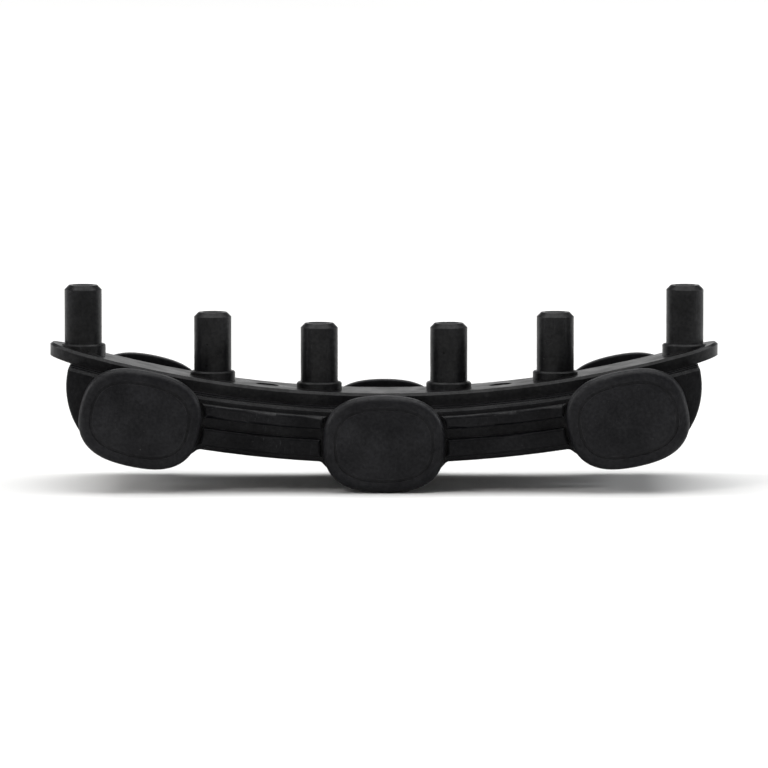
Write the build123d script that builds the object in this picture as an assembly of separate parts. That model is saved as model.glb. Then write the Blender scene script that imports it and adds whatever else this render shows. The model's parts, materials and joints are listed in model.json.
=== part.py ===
from build123d import *

# Three-pod vibration dampener for the throat bridge of a tennis racket.
#
# The dampener sits on the handle side of the bridge, where three loops of main string turn round.
# A moulded rail follows the bridge's arch and carries three pods. In each pod a half-pulley saddle
# takes one string loop. It rides on a steel cross pin by its slotted ends, and a rubber cushion
# between saddle and rail lets it give towards the bridge. A rubber cap closes each end of the pin.
# A grommet strip with six barrels lines the string holes of the bridge.
#
# Millimetres. +X runs along the bridge, -Y is the front of the racket and +Z points to its head.
# The origin is on the bridge seat, at the middle of the dampener. A pod is drawn about that same
# point and then turned about the arch's centre into its place.

import os
from math import asin, cos, degrees, radians, sin, sqrt

# Bridge and strings
SEAT_R = 105.0  # radius of the bridge's handle side, which the rail sits on
STRING_R = 0.65
LOOP_R = 5.9  # half the distance between the two strings of a loop
LOOP_PITCH = 21.5  # distance along X between neighbouring loops
LOOP_Z = -0.5  # centre of a loop in its pod

# Rail: an arched channel, open towards the handle, with three round lobes in each side wall
RAIL_DEPTH = 16.0
RAIL_HEIGHT = 4.74  # between the lobes
WALL = 1.6
WEB = 1.4
LOBE_R = 7.3  # about a point on the seat
LOBE_BLEND = 0.6  # radius of the inner corner between lobe and bar
RAIL_EDGE = 0.35
SEAT_EDGE = 0.2
SEAT_GROOVES = ((4.3, 5.1), (6.0, 6.8))  # grip lines along the seat: from the middle to each side
SEAT_GROOVE_DEPTH = 0.3
POCKET_Z = -1.0  # ceiling of a pod's pocket
POCKET_LENGTH = 15.2
WINDOW = (3.0, 2.4)  # string window in the web, along X and Y
RIBS = ((0.55, 1.75), (2.65, 4.3))  # from the seat to the near and far side of each rib
RIB_RISE = 0.75
RIB_EDGE = 0.3
KEEL = (6.4, 1.0, 0.5)  # stiffener under the web between two pods: length, width, height
PEG_R = 1.0
PEG_HEIGHT = 1.1
EJECTOR_R = 0.9  # round marks of the mould's ejector pins, two beside each keel
EJECTOR_AT = 3.4
EJECTOR_DEPTH = 0.12

# Saddle
PIN_Z = -2.9
PIN_R = 0.7
TRAVEL = 0.5  # how far a saddle gives towards the bridge
FLOAT = 0.05  # play between pin and slot, and above the saddle at full travel
SIDE_PLAY = 0.2  # between saddle and side wall
SADDLE_R = 6.7
SADDLE_WIDTH = RAIL_DEPTH - 2 * WALL - 2 * SIDE_PLAY
SADDLE_EDGE = 0.4
GROOVE_PLAY = 0.05
GROOVE_MOUTH = 3.6  # groove width at the rim
RELIEF_AT = 4.15  # middle of each side groove, from the string's plane
RELIEF_WIDTH = 1.1
RELIEF_DEPTH = 0.4
TRAY = (8.2, 9.6)
TRAY_CORNER = 0.6
TRAY_Z = -3.0

# Cushion, pin and cap
CUSHION_PLAY = 0.1
CUSHION_CORNER = 0.9
TUNNEL_R = PIN_R + 0.15
PIN_LENGTH = 18.6
PIN_CHAMFER = 0.15
CAP_SIZE = (5.5, 4.35)  # half width and half height
CAP_POWER = 2.6  # 2 is an ellipse, and more is squarer
CAP_THICK = 2.0
CAP_CROWN_R = 42.0
CAP_EDGE = 0.7
CAP_BACK_EDGE = 0.15
CAP_GROOVE = (0.95, 0.3, 0.15)  # fine line round the face: distance in from the outline, width, depth
CAP_GAP = 0.2  # between a cap and the ends of the ribs
HUB_R = 1.8
HUB_LENGTH = 1.4
HUB_PLAY = 0.02
PIN_SEAT = 0.015  # radial play of the pin in a cap

# Grommet strip
STRIP_THICK = 1.2
STRIP_DEPTH = 7.0
STRIP_LENGTH = 60.8
STRIP_CORNER = 3.4
STRIP_EDGE = 0.25
BARREL_R = 1.7
BARREL_HEIGHT = 6.0  # above the strip
BARREL_TIP = 0.4
COLLAR_R = 2.05
COLLAR_HEIGHT = 0.65
COLLAR_EDGE = 0.12
BORE_R = 0.85
BORE_MOUTH = 0.15  # countersink at the barrel's tip
PEG_PLAY = 0.05

POD_ANGLE = degrees(asin(LOOP_PITCH / (SEAT_R - LOOP_Z)))
POD_ANGLES = {"left": POD_ANGLE, "centre": 0.0, "right": -POD_ANGLE}
STRING_XS = [side * LOOP_PITCH + leg * LOOP_R for side in (-1, 0, 1) for leg in (-1, 1)]
HALF_DEPTH = RAIL_DEPTH / 2
CLEAR = 40.0  # a cutter this long reaches past everything


def on_arch(angle):
    """The frame of a place on the seat, with Z square to the bridge. Angle 0 is the middle."""
    return Pos(0, 0, SEAT_R) * Rot(0, angle, 0) * Pos(0, 0, -SEAT_R)


def side_view(shape, z=0.0):
    """A flat shape laid in the XZ plane, its middle at this height."""
    return Plane.XZ * Pos(0, z) * shape


def slab(face, y_from, y_to):
    """A face of the XZ plane made solid between two depths."""
    return Pos(0, y_from, 0) * extrude(face, y_to - y_from, dir=(0, 1, 0))


def cross_rod(radius, length):
    """A cylinder along Y, its middle at the origin."""
    return Rot(90, 0, 0) * Cylinder(radius, length)


def inside_arch(depth):
    """The disc about the arch's centre whose rim is this far below the seat."""
    return side_view(Circle(SEAT_R + depth), SEAT_R)


def arch_band(near, far):
    """The strip between two depths below the seat, from the left pod's middle to the right pod's."""
    reach = 1.5 * SEAT_R
    across = reach * sin(radians(POD_ANGLE))
    down = SEAT_R - reach * cos(radians(POD_ANGLE))
    sector = make_face(Polyline((0, SEAT_R), (across, down), (-across, down), close=True))
    return (inside_arch(far) - inside_arch(near)) & side_view(sector)


def depth_below_seat(point):
    return sqrt(point.X**2 + (point.Z - SEAT_R) ** 2) - SEAT_R


def seat_z(x):
    return SEAT_R - sqrt(SEAT_R**2 - x**2)


def edges_at_depth(solid, y):
    """The edges that lie wholly at this Y."""
    return [e for e in solid.edges() if all(abs(e.position_at(t).Y - y) < 1e-4 for t in (0, 0.5, 1))]


def cap_outline(grow=0.0):
    """A squared oval, |x / a|^n + |z / b|^n = 1, as one closed curve about the pin."""
    a, b = (half + grow for half in CAP_SIZE)
    steps = 24

    def point(k):
        turn = radians(360 * (k + 0.5) / steps)
        x = abs(cos(turn)) ** (2 / CAP_POWER) * (1 if cos(turn) > 0 else -1)
        z = abs(sin(turn)) ** (2 / CAP_POWER) * (1 if sin(turn) > 0 else -1)
        return a * x, b * z

    return side_view(make_face(Spline(*[point(k) for k in range(steps)], periodic=True)), PIN_Z)


# ---- Rail ----


def rail_outline():
    """Side view of the rail: the arched bar and the lobes below it, cut off at the seat."""
    shape = arch_band(0, RAIL_HEIGHT)
    for angle in POD_ANGLES.values():
        shape += on_arch(angle) * side_view(Circle(LOBE_R))
    shape -= inside_arch(0)
    corners = [v for v in shape.vertices() if abs(depth_below_seat(v) - RAIL_HEIGHT) < 0.01]
    return fillet(corners, LOBE_BLEND)


def ribs():
    """The longitudinal ribs between the caps, on the front and on the rear."""
    found = []
    for near, far in RIBS:
        band = arch_band(near, far)
        for angle in POD_ANGLES.values():
            band -= on_arch(angle) * cap_outline(CAP_GAP)
        for face in band.faces():
            rib = slab(face, HALF_DEPTH - WALL / 2, HALF_DEPTH + RIB_RISE)
            rib = fillet(edges_at_depth(rib, HALF_DEPTH + RIB_RISE), RIB_EDGE)
            found += [rib, mirror(rib, Plane.XZ)]
    return found


def string_window(x):
    """The opening in the web for one string. The outermost two run out through the rail's ends."""
    length, width = WINDOW
    slot = extrude(SlotOverall(length, width), CLEAR, both=True)
    if abs(x) > LOOP_PITCH:
        outward = 1 if x > 0 else -1
        slot += Pos(outward * CLEAR / 2, 0, 0) * Box(CLEAR, width, 2 * CLEAR)
    return Pos(x, 0, 0) * slot


def damper_rail():
    inner = HALF_DEPTH - WALL
    rail = slab(rail_outline(), -HALF_DEPTH, HALF_DEPTH)
    face_edges = edges_at_depth(rail, -HALF_DEPTH) + edges_at_depth(rail, HALF_DEPTH)
    rail = fillet([e for e in face_edges if depth_below_seat(e.position_at(0.5)) > 0.3], RAIL_EDGE)
    seat_edges = edges_at_depth(rail, -HALF_DEPTH) + edges_at_depth(rail, HALF_DEPTH)
    rail = chamfer([e for e in seat_edges if depth_below_seat(e.position_at(0.5)) < 0.01], SEAT_EDGE)
    rail -= slab(inside_arch(CLEAR) - inside_arch(WEB), -inner, inner)
    for near, far in SEAT_GROOVES:
        groove = slab(inside_arch(SEAT_GROOVE_DEPTH) - inside_arch(-1), near, far)
        rail -= groove
        rail -= mirror(groove, Plane.XZ)
    pocket = Pos(0, 0, POCKET_Z - CLEAR / 2) * Box(POCKET_LENGTH, 2 * inner, CLEAR)
    for angle in POD_ANGLES.values():
        rail -= on_arch(angle) * pocket

    for x in STRING_XS:
        rail -= string_window(x)
    hub_hole = Pos(0, 0, PIN_Z) * cross_rod(HUB_R + HUB_PLAY, CLEAR)
    for angle in POD_ANGLES.values():
        rail -= on_arch(angle) * hub_hole
    for rib in ribs():
        rail += rib

    length, width, height = KEEL
    root = WEB / 2
    keel = Pos(0, 0, -(WEB + height + root) / 2) * Box(length, width, WEB + height - root)
    peg = Pos(0, 0, (PEG_HEIGHT - root) / 2) * Cylinder(PEG_R, PEG_HEIGHT + root)
    peg = chamfer(peg.edges().sort_by(Axis.Z)[-1], 0.2)
    ejector = Pos(0, 0, -WEB) * Cylinder(EJECTOR_R, 2 * EJECTOR_DEPTH)
    for side in (-1, 1):
        bar = on_arch(side * POD_ANGLE / 2)
        rail += bar * keel
        rail += bar * peg
        for across in (-EJECTOR_AT, EJECTOR_AT):
            rail -= bar * Pos(0, across, 0) * ejector
    return rail


# ---- Grommet strip ----


def post(x, radius, height, tip):
    """A round post that stands on the strip, with a chamfered tip."""
    root = seat_z(x) + STRIP_THICK / 2
    top = seat_z(x) + STRIP_THICK + height
    shaft = Pos(x, 0, (root + top) / 2) * Cylinder(radius, top - root)
    return chamfer(shaft.edges().sort_by(Axis.Z)[-1], tip)


def bore(x):
    """The string hole through strip and barrel, countersunk at the barrel's tip."""
    top = seat_z(x) + STRIP_THICK + BARREL_HEIGHT
    mouth = Pos(x, 0, top) * Cone(BORE_R, BORE_R + 2 * BORE_MOUTH, 2 * BORE_MOUTH)
    return Pos(x, 0, 0) * Cylinder(BORE_R, CLEAR) + mouth


def grommet_strip():
    strip = slab(inside_arch(0) - inside_arch(-STRIP_THICK), -STRIP_DEPTH / 2, STRIP_DEPTH / 2)
    strip &= extrude(RectangleRounded(STRIP_LENGTH, STRIP_DEPTH, STRIP_CORNER), CLEAR / 2, both=True)
    top = [e for e in strip.edges() if depth_below_seat(e.position_at(0.5)) < -STRIP_THICK + 0.01]
    strip = chamfer(top, STRIP_EDGE)

    peg_hole = Cylinder(PEG_R + PEG_PLAY, 4 * STRIP_THICK)
    for side in (-1, 1):
        strip -= on_arch(side * POD_ANGLE / 2) * peg_hole
    for x in STRING_XS:
        strip += post(x, COLLAR_R, COLLAR_HEIGHT, COLLAR_EDGE)
        strip += post(x, BARREL_R, BARREL_HEIGHT, BARREL_TIP)
    for x in STRING_XS:
        strip -= bore(x)
    return strip


# ---- Pod ----


def string_groove():
    """What the string sweeps out round the saddle: a round bed that flares to the rim."""
    bed_r = STRING_R + GROOVE_PLAY
    rim = SADDLE_R + 1
    flare = Polyline(
        (LOOP_R, -bed_r),
        (rim, -GROOVE_MOUTH / 2),
        (rim, GROOVE_MOUTH / 2),
        (LOOP_R, bed_r),
        close=True,
    )
    return revolve(make_face(flare) + Pos(LOOP_R, 0) * Circle(bed_r), Axis.Y)


def saddle():
    """Half-pulley for one string loop, with a tray for the cushion and a slot that rides on the pin."""
    half = SADDLE_WIDTH / 2
    wheel = cross_rod(SADDLE_R, SADDLE_WIDTH)
    wheel = fillet(edges_at_depth(wheel, -half) + edges_at_depth(wheel, half), SADDLE_EDGE)
    wheel -= string_groove()
    relief = cross_rod(SADDLE_R + 1, RELIEF_WIDTH) - cross_rod(SADDLE_R - RELIEF_DEPTH, RELIEF_WIDTH)
    for side in (-1, 1):
        wheel -= Pos(0, side * RELIEF_AT, 0) * relief
    body = Pos(0, 0, LOOP_Z) * wheel

    rim_z = POCKET_Z - TRAVEL - FLOAT
    body -= Pos(0, 0, rim_z + CLEAR / 2) * Box(CLEAR, CLEAR, CLEAR)
    body -= Pos(0, 0, TRAY_Z) * extrude(RectangleRounded(*TRAY, TRAY_CORNER), CLEAR)
    slot_top = PIN_Z + PIN_R + FLOAT
    slot_foot = PIN_Z - PIN_R - TRAVEL - FLOAT
    slot = SlotOverall(slot_top - slot_foot, 2 * (PIN_R + FLOAT), rotation=90)
    return body - extrude(side_view(slot, (slot_top + slot_foot) / 2), CLEAR, both=True)


def cushion():
    """Rubber block between the saddle's tray and the rail, with a tunnel that leaves the pin free."""
    length, width = (size - 2 * CUSHION_PLAY for size in TRAY)
    block = Pos(0, 0, TRAY_Z) * extrude(RectangleRounded(length, width, CUSHION_CORNER), POCKET_Z - TRAY_Z)
    tunnel = cross_rod(TUNNEL_R, CLEAR) + Pos(0, 0, -TUNNEL_R) * Box(2 * TUNNEL_R, CLEAR, 2 * TUNNEL_R)
    return block - Pos(0, 0, PIN_Z) * tunnel


def cross_pin():
    pin = cross_rod(PIN_R, PIN_LENGTH)
    ends = edges_at_depth(pin, -PIN_LENGTH / 2) + edges_at_depth(pin, PIN_LENGTH / 2)
    return Pos(0, 0, PIN_Z) * chamfer(ends, PIN_CHAMFER)


def cap():
    """The rear cap: a crowned rubber button, with a hub in the rail's wall that takes the pin's end."""
    face_y = HALF_DEPTH + CAP_THICK
    crown_centre = Pos(0, face_y - CAP_CROWN_R, PIN_Z)
    button = slab(cap_outline(), HALF_DEPTH, face_y + 1)
    button &= crown_centre * Sphere(CAP_CROWN_R)
    button = fillet(button.faces().sort_by(Axis.Y)[-1].edges(), CAP_EDGE)
    button = fillet(edges_at_depth(button, HALF_DEPTH), CAP_BACK_EDGE)
    inset, width, depth = CAP_GROOVE
    ring = slab(cap_outline(-inset) - cap_outline(-inset - width), HALF_DEPTH, face_y + 1)
    button -= ring - crown_centre * Sphere(CAP_CROWN_R - depth)
    hub = slab(side_view(Circle(HUB_R), PIN_Z), HALF_DEPTH - HUB_LENGTH, HALF_DEPTH + CAP_THICK / 4)
    socket = slab(side_view(Circle(PIN_R + PIN_SEAT), PIN_Z), 0, PIN_LENGTH / 2 + 0.05)
    return button + hub - socket


def build():
    rear_cap = cap()
    pod = {
        "saddle": saddle(),
        "cushion": cushion(),
        "cross_pin": cross_pin(),
        "front_cap": mirror(rear_cap, Plane.XZ),
        "rear_cap": rear_cap,
    }
    pieces = {"damper_rail": damper_rail(), "grommet_strip": grommet_strip()}
    for place, angle in POD_ANGLES.items():
        for name, piece in pod.items():
            pieces[f"{name}_{place}"] = on_arch(angle) * piece
    return pieces


os.makedirs("parts", exist_ok=True)
for node, piece in build().items():
    export_step(piece, f"parts/{node}.step")
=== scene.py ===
import json
from math import atan2, copysign, cos, pi, radians, sin, sqrt

import bmesh
import bpy
from mathutils import Matrix, Vector


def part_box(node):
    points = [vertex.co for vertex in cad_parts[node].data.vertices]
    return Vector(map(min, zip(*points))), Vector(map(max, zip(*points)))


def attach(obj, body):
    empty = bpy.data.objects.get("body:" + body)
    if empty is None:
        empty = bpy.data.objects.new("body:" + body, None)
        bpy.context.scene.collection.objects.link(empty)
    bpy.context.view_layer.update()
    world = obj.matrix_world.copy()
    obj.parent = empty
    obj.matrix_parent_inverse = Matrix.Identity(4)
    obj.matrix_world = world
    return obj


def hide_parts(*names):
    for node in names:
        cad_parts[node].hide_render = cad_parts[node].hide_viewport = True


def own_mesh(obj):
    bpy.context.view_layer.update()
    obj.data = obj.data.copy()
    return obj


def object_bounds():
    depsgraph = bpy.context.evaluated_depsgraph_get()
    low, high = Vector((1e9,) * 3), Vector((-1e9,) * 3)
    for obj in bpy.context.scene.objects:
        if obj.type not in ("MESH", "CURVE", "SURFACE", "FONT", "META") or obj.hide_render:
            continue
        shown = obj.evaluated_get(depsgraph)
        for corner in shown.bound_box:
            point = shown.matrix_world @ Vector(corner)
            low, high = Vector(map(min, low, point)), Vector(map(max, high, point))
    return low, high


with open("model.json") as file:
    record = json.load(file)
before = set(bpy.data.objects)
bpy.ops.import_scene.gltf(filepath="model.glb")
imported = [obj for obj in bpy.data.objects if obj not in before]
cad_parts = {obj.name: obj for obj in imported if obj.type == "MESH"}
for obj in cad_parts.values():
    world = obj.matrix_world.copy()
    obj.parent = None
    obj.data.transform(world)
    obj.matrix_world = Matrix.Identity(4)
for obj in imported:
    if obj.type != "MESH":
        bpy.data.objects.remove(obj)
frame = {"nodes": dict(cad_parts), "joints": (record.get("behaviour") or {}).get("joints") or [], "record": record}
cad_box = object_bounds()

MM = 0.001
PLACES = ("left", "centre", "right")

# View: level with the racket's middle, so slightly above the dampener, through a long lens
VIEW_ELEVATION = radians(5)
VIEW_WIDTH = 70 * MM
LENS = 400
SENSOR = 36

# Floor: a disc so wide that its rim is out of sight
FLOOR_RADIUS = 6.0
FLOOR_SIDES = 96

# Surroundings: white up to a little above the horizon, and dim overhead
HORIZON_STRENGTH = 1.05
OVERHEAD_STRENGTH = 0.12
FADE_START = 0.06  # sine of the height above the horizon
FADE_END = 0.5

# Cushions: what moulding and the string's pull make of the plain blocks
CUSHION_BULGE = 0.07 * MM
CUSHION_EDGE = 0.28 * MM
CUSHION_CORNER = 0.9 * MM
TUNNEL_PLAY = 0.15 * MM  # round the pin
TUNNEL_STEPS = 10  # along a quarter of the arch over the pin
EDGE_STEPS = 6
FLANK_STEPS = 6
STATIONS = 44  # along the pin

# Noise lies mostly between these two values, round a middle of 0.5
NOISE_LOW = 0.3
NOISE_HIGH = 0.7

# How far a rounded normal leans from the true one, as a cosine, from a face to an edge
FACE_LEAN = 0.998
EDGE_LEAN = 0.90


# ---- Materials ----


class Shader:
    """A material's nodes, built one at a time, with values or other nodes' outputs as inputs."""

    def __init__(self, name):
        self.material = bpy.data.materials.new(name)
        self.material.use_nodes = True
        self.nodes = self.material.node_tree.nodes
        self.links = self.material.node_tree.links
        self.nodes.clear()
        self.place = self.node("ShaderNodeTexCoord").outputs["Object"]

    def node(self, kind, inputs=None, **settings):
        """A new node with its settings, and with its inputs by name."""
        node = self.nodes.new(kind)
        for key, value in settings.items():
            setattr(node, key, value)
        for key, value in (inputs or {}).items():
            self.feed(node.inputs[key], value)
        return node

    def feed(self, socket, value):
        if isinstance(value, bpy.types.NodeSocket):
            self.links.new(value, socket)
        else:
            socket.default_value = value

    def math(self, operation, *values, clamp=False):
        node = self.node("ShaderNodeMath", operation=operation, use_clamp=clamp)
        for socket, value in zip(node.inputs, values):
            self.feed(socket, value)
        return node.outputs[0]

    def product(self, first, *others):
        for other in others:
            first = self.math("MULTIPLY", first, other)
        return first

    def spread(self, value, low, high, to_low=0.0, to_high=1.0):
        """value, moved from the range low..high to the range to_low..to_high and held there."""
        inputs = {"Value": value, "From Min": low, "From Max": high, "To Min": to_low, "To Max": to_high}
        return self.node("ShaderNodeMapRange", inputs).outputs["Result"]

    def vary(self, noise, least, most):
        """A factor that goes with the noise, between a least and a most."""
        return self.spread(noise, NOISE_LOW, NOISE_HIGH, least, most)

    def noise(self, size, detail=3.0, roughness=0.55, stretch=(1, 1, 1), turn=(0, 0, 0)):
        """Noise whose features are about this size, in metres, stretched along each turned axis."""
        inputs = {"Vector": self.place, "Rotation": turn, "Scale": [size * s for s in stretch]}
        place = self.node("ShaderNodeMapping", inputs, vector_type="TEXTURE")
        inputs = {"Vector": place.outputs[0], "Scale": 1.0, "Detail": detail, "Roughness": roughness}
        return self.node("ShaderNodeTexNoise", inputs).outputs["Fac"]

    def cells(self, size):
        """Distance to the middle of the nearest of many cells of about this size, 0 at the middle."""
        inputs = {"Vector": self.place, "Scale": 1 / size}
        return self.node("ShaderNodeTexVoronoi", inputs).outputs["Distance"]

    def scratches(self, turns, length=9 * MM, width=0.07 * MM):
        """Thin marks in a few directions: 1 on a mark, and 0 on the clean surface between."""
        marks = 0.0
        for turn in turns:
            line = self.noise(width, detail=1, stretch=(length / width, 1, 1), turn=turn)
            marks = self.math("MAXIMUM", marks, self.spread(line, 0.70, 0.76))
        scratched_area = self.spread(self.noise(4 * MM, detail=2), 0.45, 0.60)
        return self.product(marks, scratched_area)

    def edges(self, radius):
        """1 along the edges of the shape, out to about this radius, and 0 on its faces."""
        rounded = self.node("ShaderNodeBevel", {"Radius": radius}, samples=6).outputs[0]
        true = self.node("ShaderNodeNewGeometry").outputs["Normal"]
        dot = self.node("ShaderNodeVectorMath", operation="DOT_PRODUCT")
        self.feed(dot.inputs[0], rounded)
        self.feed(dot.inputs[1], true)
        return self.spread(dot.outputs["Value"], FACE_LEAN, EDGE_LEAN)

    def crevices(self, reach):
        """1 deep in the corners of the shape, and 0 where it is open."""
        open_sky = self.node("ShaderNodeAmbientOcclusion", {"Distance": reach}, samples=8).outputs["AO"]
        return self.spread(open_sky, 0.75, 0.25)

    def mix(self, amount, a, b):
        """Colour a, and as much of colour b over it as the amount says."""
        node = self.node("ShaderNodeMix", data_type="RGBA")
        # Its sockets for colours come after those for numbers and vectors
        self.feed(node.inputs[0], amount)
        self.feed(node.inputs[6], a)
        self.feed(node.inputs[7], b)
        return node.outputs[2]

    def scale(self, colour, factor):
        """A colour made lighter or darker by a factor."""
        node = self.node("ShaderNodeVectorMath", operation="SCALE")
        self.feed(node.inputs[0], colour[:3])
        self.feed(node.inputs["Scale"], factor)
        return node.outputs[0]

    def bump(self, height, depth, normal=None):
        """A normal for a relief whose height from 0 to 1 is this deep, on top of another normal."""
        inputs = {"Height": height, "Strength": 1.0, "Distance": depth}
        if normal is not None:
            inputs["Normal"] = normal
        return self.node("ShaderNodeBump", inputs).outputs[0]

    def finish(self, **inputs):
        """The material, with these inputs of its surface, _ standing for a space in their names."""
        inputs = {name.replace("_", " "): value for name, value in inputs.items()}
        surface = self.node("ShaderNodeBsdfPrincipled", inputs)
        self.node("ShaderNodeOutputMaterial", {"Surface": surface.outputs[0]})
        return self.material


def rgba(r, g, b):
    return (r, g, b, 1.0)


HANDLING = ((0, 0.5, 0.35), (0, -0.9, 1.2), (0.3, 1.7, -0.5))  # directions of stray scratches
ALONG_BARRELS = ((0, pi / 2, 0), (0, pi / 2 + 0.12, 0))
DUST = rgba(0.26, 0.25, 0.24)
RUBBED = rgba(0.10, 0.10, 0.105)
RUBBED_ACETAL = rgba(0.13, 0.13, 0.135)
SCORED_ACETAL = rgba(0.2, 0.2, 0.2)
EDGE_WEAR = 0.12 * MM  # how far rubbing reaches from an edge
CORNER_DUST = 0.8 * MM  # how far dust reaches out of a corner
WEAR_POLISH = 0.25  # how much smoother worn plastic is
DUST_DULLNESS = 0.5  # how much rougher dusty plastic is
SCRATCH_DEPTH = 0.006 * MM
SINK_DEPTH = 0.018 * MM  # waviness of a moulded face
POLISH_DEPTH = 0.004 * MM
RING_DEPTH = 0.002 * MM  # left by grinding


def moulded(name, colour, rough, gloss, grain, grain_depth, scuff, dust, marks=HANDLING, marking=0.3):
    """Moulded black plastic or rubber: mottled, spark-eroded grain, rubbed edges, marks and dust."""
    s = Shader(name)
    mottle = s.vary(s.noise(3.5 * MM, detail=5), 0.74, 1.28)
    speck = s.vary(s.noise(0.3 * MM, detail=3), 0.78, 1.22)
    tone = s.product(mottle, speck)
    body = s.scale(colour, tone)

    patchy = s.spread(s.noise(0.9 * MM, detail=4), 0.40, 0.66)
    rubbed = s.product(s.edges(EDGE_WEAR), patchy, scuff)
    scratched = s.product(s.scratches(marks), marking)
    worn = s.math("MAXIMUM", rubbed, scratched)
    body = s.mix(worn, body, RUBBED)

    loose = s.spread(s.noise(0.5 * MM, detail=3), 0.35, 0.75)
    caught = s.product(s.crevices(CORNER_DUST), loose, dust)
    fleck = s.spread(s.cells(1.3 * MM), 0.050, 0.035)
    flecked_area = s.spread(s.noise(5 * MM), 0.45, 0.6)
    settled = s.math("MAXIMUM", caught, s.product(fleck, flecked_area, 2 * dust))
    body = s.mix(settled, body, DUST)

    dullness = s.vary(s.noise(2.0 * MM, detail=4), rough - 0.07, rough + 0.08)
    dullness = s.math("SUBTRACT", dullness, s.product(worn, WEAR_POLISH))
    dullness = s.math("ADD", dullness, s.product(settled, DUST_DULLNESS), clamp=True)
    shine = s.product(tone, gloss)

    fine = s.noise(grain, detail=3, roughness=0.6)
    pits = s.spread(s.cells(grain * 1.6), 0.15, 0.6)
    relief = s.math("ADD", s.product(fine, 0.7), s.product(pits, 0.3))
    normal = s.bump(relief, grain_depth)
    normal = s.bump(s.math("SUBTRACT", 1.0, scratched), SCRATCH_DEPTH, normal)
    normal = s.bump(s.noise(5 * MM, detail=1), SINK_DEPTH, normal)
    return s.finish(Base_Color=body, Roughness=dullness, Specular_IOR_Level=shine, Normal=normal)


def acetal(name, colour):
    """Saddle plastic: smooth and waxy, polished and scored round where the string runs."""
    s = Shader(name)
    body = s.scale(colour, s.vary(s.noise(4 * MM, detail=3), 0.88, 1.14))
    scored = s.noise(0.12 * MM, detail=4, stretch=(6, 1, 6))
    body = s.mix(s.product(s.spread(scored, 0.55, 0.72), 0.08), body, SCORED_ACETAL)
    rubbed = s.product(s.edges(EDGE_WEAR), s.spread(s.noise(0.7 * MM), 0.4, 0.65))
    body = s.mix(s.product(rubbed, 0.3), body, RUBBED_ACETAL)
    dullness = s.vary(scored, 0.24, 0.40)
    normal = s.bump(scored, POLISH_DEPTH)
    normal = s.bump(s.noise(0.9 * MM, detail=2), POLISH_DEPTH, normal)
    return s.finish(Base_Color=body, Roughness=dullness, Specular_IOR_Level=0.28, Normal=normal)


def ground_steel(name, colour):
    """Centreless-ground stainless pin: fine rings round it."""
    s = Shader(name)
    rings = s.noise(0.05 * MM, detail=3, stretch=(30, 1, 30))
    body = s.scale(colour, s.vary(rings, 0.88, 1.06))
    dullness = s.vary(s.noise(0.6 * MM), 0.22, 0.34)
    normal = s.bump(rings, RING_DEPTH)
    return s.finish(Base_Color=body, Metallic=1.0, Roughness=dullness, Anisotropic=0.5, Normal=normal)


def floor_paint(name, colour):
    """Matt off-white paint, uneven by a hundredth or so."""
    s = Shader(name)
    body = s.scale(colour, s.vary(s.noise(120 * MM, detail=3), 0.985, 1.01))
    return s.finish(Base_Color=body, Roughness=1.0, Specular_IOR_Level=0.0)


FINISHES = {
    "rail_plastic": moulded(
        "rail_plastic", rgba(0.0032, 0.0032, 0.0039),
        rough=0.42, gloss=0.095, grain=0.20 * MM, grain_depth=0.022 * MM, scuff=0.30, dust=0.08,
    ),
    "grommet_plastic": moulded(
        "grommet_plastic", rgba(0.0044, 0.0044, 0.0050),
        rough=0.34, gloss=0.15, grain=0.28 * MM, grain_depth=0.010 * MM, scuff=0.35, dust=0.10,
        marks=ALONG_BARRELS, marking=0.35,
    ),
    "cap_rubber": moulded(
        "cap_rubber", rgba(0.0054, 0.0054, 0.0066),
        rough=0.48, gloss=0.145, grain=0.20 * MM, grain_depth=0.024 * MM, scuff=0.16, dust=0.06,
        marking=0.10,
    ),
    "saddle_acetal": acetal("saddle_acetal", rgba(0.0085, 0.0085, 0.0095)),
    "cushion_rubber": moulded(
        "cushion_rubber", rgba(0.085, 0.085, 0.09),
        rough=0.72, gloss=0.20, grain=0.12 * MM, grain_depth=0.016 * MM, scuff=0.10, dust=0.10,
    ),
    "pin_steel": ground_steel("pin_steel", rgba(0.60, 0.60, 0.61)),
}

for part in frame["record"]["subparts"]:
    for slot in frame["nodes"][part["node"]].material_slots:
        slot.material = FINISHES[part["material_slot"]]


def add(name, bm, material):
    """An object made from a bmesh, smooth shaded, with one material."""
    mesh = bpy.data.meshes.new(name)
    bm.to_mesh(mesh)
    bm.free()
    mesh.shade_smooth()
    mesh.materials.append(material)
    made = bpy.data.objects.new(name, mesh)
    bpy.context.collection.objects.link(made)
    return made


# ---- Cushions ----


def middle(node):
    low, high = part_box(node)
    return (low + high) / 2


def arc(centre, radius, start, turn, steps):
    """Points round part of a circle, from an angle and through a turn."""
    angles = [start + turn * k / steps for k in range(steps + 1)]
    return [Vector((centre[0] + radius * cos(a), centre[1] + radius * sin(a))) for a in angles]


def cushion_section(half, foot, top, edge, tunnel_r):
    """Outline of a cushion across the pin, about the pin's middle: a block with an arch over the pin."""
    right = arc((0, 0), tunnel_r, pi / 2, -pi / 2, TUNNEL_STEPS)
    right.append(Vector((tunnel_r, foot + edge / 4)))
    right.append(Vector((tunnel_r + edge / 4, foot)))
    right += arc((half - edge, foot + edge), edge, -pi / 2, pi / 2, EDGE_STEPS)
    flank = top - foot - 2 * edge
    right += [Vector((half, foot + edge + flank * k / FLANK_STEPS)) for k in range(1, FLANK_STEPS)]
    right += arc((half - edge, top - edge), edge, 0, pi / 2, EDGE_STEPS)
    left = [Vector((-p.x, p.y)) for p in reversed(right)]
    return right + left[:-1]


def rounding(radius, into):
    """How far a rounding of this radius draws a surface in, this far past its start."""
    return radius - sqrt(max(0.0, radius**2 - max(0.0, into) ** 2))


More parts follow.
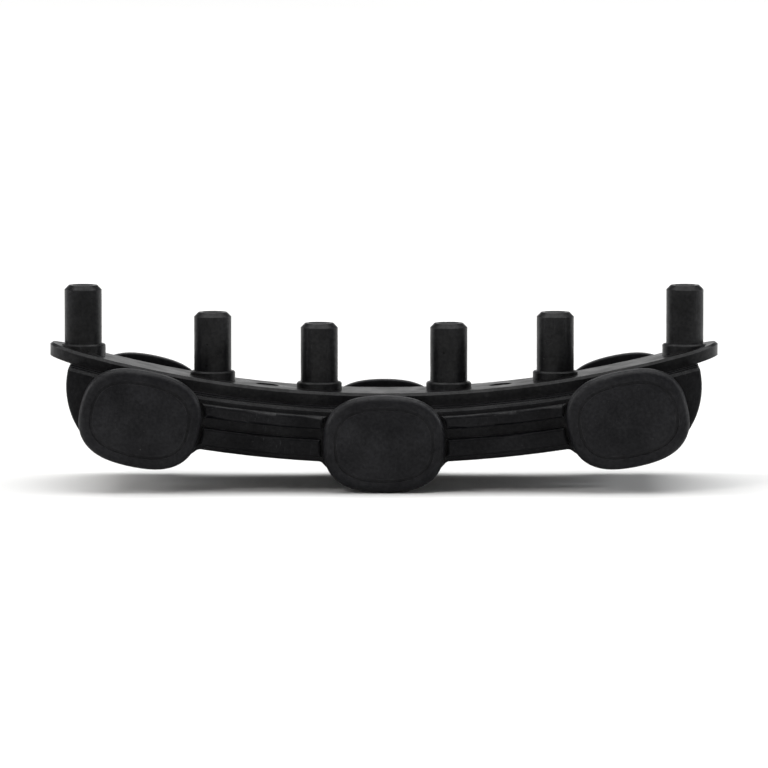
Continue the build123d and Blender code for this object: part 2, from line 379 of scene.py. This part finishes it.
def cushion_sizes():
    """Half width, half depth, foot, top and tunnel radius of every cushion, about its pin's middle."""
    # The centre pod stands upright, so its boxes give the sizes of all three
    low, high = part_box("cushion_centre")
    pin = middle("cross_pin_centre")
    tunnel_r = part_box("cross_pin_centre")[1].z - pin.z + TUNNEL_PLAY
    return high.x, high.y, low.z - pin.z, high.z - pin.z, tunnel_r


def cushion_block(half_x, half_y, foot, top, tunnel_r):
    """A block about its pin's middle, rounded all over, with sides that bulge a little under load."""
    bm = bmesh.new()
    rings = []
    for k in range(STATIONS + 1):
        y = half_y * sin(pi * (k / STATIONS - 0.5))
        corner = rounding(CUSHION_CORNER, abs(y) - half_y + CUSHION_CORNER)
        inset = rounding(CUSHION_EDGE, abs(y) - half_y + CUSHION_EDGE)
        outline = cushion_section(
            half_x - CUSHION_BULGE - corner, foot + inset, top - inset, CUSHION_EDGE, tunnel_r + inset / 2
        )
        ring = []
        for u, z in outline:
            swell = 1 - (2 * (z - foot) / (top - foot) - 1) ** 2
            out = (abs(u) / half_x) ** 3
            x = u + copysign(CUSHION_BULGE * swell * out, u)
            ring.append(bm.verts.new((x, y * (1 - CUSHION_BULGE / half_y * (1 - swell)), z)))
        rings.append(ring)
    for near, far in zip(rings, rings[1:]):
        for k in range(len(near)):
            bm.faces.new((near[k - 1], near[k], far[k], far[k - 1]))
    bm.faces.new(rings[0])
    bm.faces.new(reversed(rings[-1]))
    bmesh.ops.recalc_face_normals(bm, faces=bm.faces)
    return bm


def cushion(place):
    """The rubber block of one pod, shaped as if squashed against the rail."""
    half_x, half_y, foot, top, tunnel_r = cushion_sizes()
    bm = cushion_block(half_x, half_y, foot, top, tunnel_r)
    joint = next(j for j in frame["joints"] if j["name"] == f"saddle_{place}_give")
    up = Vector(joint["axis"])
    pod = Matrix.Translation(middle(f"cross_pin_{place}")) @ Matrix.Rotation(atan2(up.x, up.z), 4, "Y")
    bm.transform(pod)
    made = add(f"cushion_{place}_rubber", bm, FINISHES["cushion_rubber"])
    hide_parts(f"cushion_{place}")
    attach(made, "dampener")
    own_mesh(made)


for place in PLACES:
    cushion(place)


# ---- Camera, floor and light ----

low, high = cad_box
focus = Vector(((low.x + high.x) / 2, 0, (low.z + high.z) / 2))
distance = VIEW_WIDTH * LENS / SENSOR

camera = bpy.data.objects.new("camera", bpy.data.cameras.new("camera"))
camera.data.lens = LENS
camera.data.sensor_width = SENSOR
camera.data.clip_start = 0.01
camera.location = focus + distance * Vector((0, -cos(VIEW_ELEVATION), sin(VIEW_ELEVATION)))
camera.rotation_euler = (pi / 2 - VIEW_ELEVATION, 0, 0)
bpy.context.collection.objects.link(camera)
bpy.context.scene.camera = camera

disc = bmesh.new()
bmesh.ops.create_circle(disc, cap_ends=True, segments=FLOOR_SIDES, radius=FLOOR_RADIUS)
floor = add("floor", disc, floor_paint("floor_paint", rgba(0.80, 0.80, 0.795)))
floor.location.z = low.z


def softbox(name, place, size, power, colour=(1, 1, 1), aim=focus):
    """A rectangular area light of a width and height, aimed at a point."""
    lamp = bpy.data.lights.new(name, "AREA")
    lamp.shape = "RECTANGLE"
    lamp.size, lamp.size_y = size
    lamp.energy = power
    lamp.color = colour
    made = bpy.data.objects.new(name, lamp)
    made.location = place
    made.rotation_euler = (Vector(aim) - Vector(place)).to_track_quat("-Z", "Y").to_euler()
    bpy.context.collection.objects.link(made)


softbox("overhead", place=(0, 0.45, 1.9), size=(2.4, 2.4), power=52, aim=(0, 0.45, 0))
softbox("key", place=(-0.5, -0.6, 0.6), size=(0.30, 0.30), power=2.0, colour=(1.0, 0.985, 0.965))
softbox("left_strip", place=(-1.4, 0.2, 0.6), size=(0.3, 0.9), power=9, colour=(1.0, 0.99, 0.98))
softbox("right_strip", place=(1.4, 0.2, 0.6), size=(0.3, 0.9), power=9, colour=(0.97, 0.985, 1.0))


def studio_sky():
    """Surroundings as white as the floor at the horizon, which darken overhead."""
    world = bpy.data.worlds.new("studio")
    world.use_nodes = True
    nodes, links = world.node_tree.nodes, world.node_tree.links
    direction = nodes.new("ShaderNodeTexCoord").outputs["Generated"]
    height = nodes.new("ShaderNodeSeparateXYZ")
    links.new(direction, height.inputs[0])
    fade = nodes.new("ShaderNodeMapRange")
    fade.interpolation_type = "SMOOTHSTEP"
    fade.inputs["From Min"].default_value = FADE_START
    fade.inputs["From Max"].default_value = FADE_END
    fade.inputs["To Min"].default_value = HORIZON_STRENGTH
    fade.inputs["To Max"].default_value = OVERHEAD_STRENGTH
    links.new(height.outputs["Z"], fade.inputs["Value"])
    links.new(fade.outputs["Result"], nodes["Background"].inputs["Strength"])
    nodes["Background"].inputs["Color"].default_value = (1, 1, 1, 1)
    bpy.context.scene.world = world


studio_sky()
bpy.context.scene.view_settings.view_transform = "Standard"
